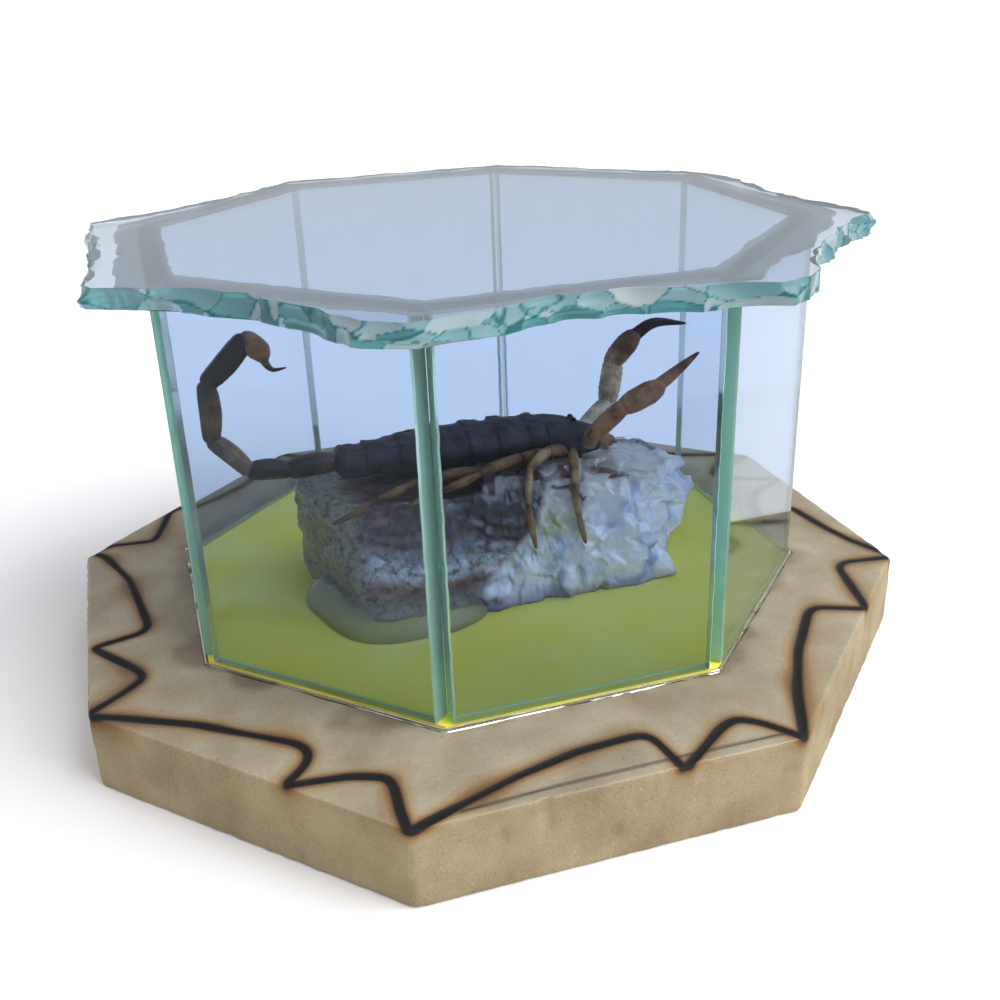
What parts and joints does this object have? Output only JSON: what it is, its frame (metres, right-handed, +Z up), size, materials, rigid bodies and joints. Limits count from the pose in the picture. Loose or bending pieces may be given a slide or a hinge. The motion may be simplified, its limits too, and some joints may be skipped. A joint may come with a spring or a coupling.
{
  "type": "scorpion specimen in display case",
  "caption": "Dried scorpion on a lump of layered quartz rock in an octagonal glued glass case with a rough-broken lid, on a fibreboard base with a burnt zigzag border.",
  "frame": {"origin": "middle of the base board's underside, the bottom centre of the whole part", "axes": "+Z up; the flat front edge of the base faces -Y; +X to the right, the way that the scorpion's head points"},
  "size_m": [0.132, 0.1304, 0.0705],
  "materials": {
    "fibreboard": "medium density fibreboard, top varnished to a gloss and burnt with a dark zigzag line, sides raw and speckled",
    "yellow_paper": "matt lemon-yellow paper",
    "glass": "clear float glass, teal green at its cut and chipped edges",
    "adhesive": "clear set adhesive, glossy, with a few white flecks",
    "stone": "layered dark purple-brown stone running into icy translucent quartz",
    "chitin": "dried chitin, bluish black on the back, brown on the legs, pale on one claw"
  },
  "bodies": {
    "root": {"base_board": "fibreboard", "paper_floor": "yellow_paper", "pane_front": "glass", "pane_front_right": "glass", "pane_right": "glass", "pane_back_right": "glass", "pane_back": "glass", "pane_back_left": "glass", "pane_left": "glass", "pane_front_left": "glass", "lid": "glass", "lid_glue": "adhesive", "foot_glue": "adhesive", "rock": "stone", "rock_glue": "adhesive", "scorpion": "chitin"}
  },
  "joints": []
}
